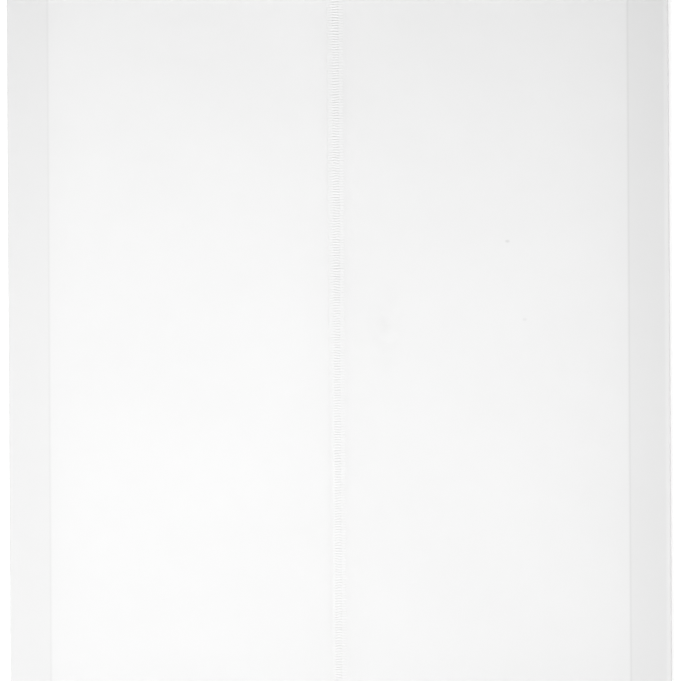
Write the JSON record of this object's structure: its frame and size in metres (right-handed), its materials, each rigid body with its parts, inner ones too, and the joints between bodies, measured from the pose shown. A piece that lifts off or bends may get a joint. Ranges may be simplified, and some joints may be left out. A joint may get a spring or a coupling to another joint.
{
  "type": "snap-button document bag",
  "caption": "Flat document bag of translucent film with a ribbed centre seam, folded gussets and a flap closed by a snap button.",
  "frame": {"origin": "middle of the back panel's lower face, on the surface that the bag lies on", "axes": "+X across the bag, +Y up the bag to the flap, +Z out of the seam face"},
  "size_m": [0.25, 0.345, 0.0147],
  "materials": {
    "film": "milky translucent film, satin",
    "weld": "ribbed weld in the same film",
    "snap": "moulded white plastic"
  },
  "bodies": {
    "back": {"back_panel": "film"},
    "left_rear": {"gusset_left_rear": "film"},
    "left_front": {"gusset_left_front": "film"},
    "right_rear": {"gusset_right_rear": "film"},
    "right_front": {"gusset_right_front": "film"},
    "bottom_rear": {"gusset_bottom_rear": "film"},
    "bottom_front": {"gusset_bottom_front": "film"},
    "front": {"front_left_half": "film", "front_right_half": "film", "centre_weld_lower": "weld", "centre_weld_upper": "weld", "bottom_tab": "film", "bottom_weld": "weld", "snap_socket": "snap", "snap_backing": "snap"},
    "spine": {"flap_spine": "film"},
    "flap": {"flap_panel": "film", "snap_cap": "snap", "snap_stud": "snap"}
  },
  "joints": [
    {"name": "left_rear_fold", "type": "hinge", "parent": "back", "child": "left_rear", "pos_m": [-0.125, 0, 0.00045], "axis": [0, -1, 0], "range_deg": [-10, 0]},
    {"name": "left_front_fold", "type": "hinge", "parent": "left_rear", "child": "left_front", "pos_m": [-0.10996, 0, 0.00426], "axis": [0, -1, 0], "range_deg": [0, 20]},
    {"name": "front_fold", "type": "hinge", "parent": "left_front", "child": "front", "pos_m": [-0.125, 0, 0.00807], "axis": [0, -1, 0], "range_deg": [-10, 0], "stiffness_Nm_per_rad": 0.08, "springref_deg": 14.9},
    {"name": "right_rear_fold", "type": "hinge", "parent": "back", "child": "right_rear", "pos_m": [0.125, 0, 0.00045], "axis": [0, 1, 0], "range_deg": [-10, 0]},
    {"name": "right_front_fold", "type": "hinge", "parent": "right_rear", "child": "right_front", "pos_m": [0.10996, 0, 0.00426], "axis": [0, 1, 0], "range_deg": [0, 20]},
    {"name": "bottom_rear_fold", "type": "hinge", "parent": "back", "child": "bottom_rear", "pos_m": [0, -0.1725, 0.00045], "axis": [1, 0, 0], "range_deg": [-10, 0]},
    {"name": "bottom_front_fold", "type": "hinge", "parent": "bottom_rear", "child": "bottom_front", "pos_m": [0, -0.15746, 0.00426], "axis": [1, 0, 0], "range_deg": [0, 20]},
    {"name": "flap_root_fold", "type": "hinge", "parent": "back", "child": "spine", "pos_m": [0, 0.1725, 0.00045], "axis": [-1, 0, 0], "range_deg": [0, 85]},
    {"name": "flap_fold", "type": "hinge", "parent": "spine", "child": "flap", "pos_m": [0, 0.1725, 0.01212], "axis": [-1, 0, 0], "range_deg": [0, 85]}
  ],
  "couplings": [
    {"joint": "left_rear_fold", "follows": "front_fold", "ratio": 1},
    {"joint": "left_front_fold", "follows": "front_fold", "ratio": -2},
    {"joint": "right_rear_fold", "follows": "front_fold", "ratio": 1},
    {"joint": "right_front_fold", "follows": "front_fold", "ratio": -2},
    {"joint": "bottom_rear_fold", "follows": "front_fold", "ratio": 1},
    {"joint": "bottom_front_fold", "follows": "front_fold", "ratio": -2},
    {"joint": "flap_root_fold", "follows": "flap_fold", "ratio": 1}
  ]
}
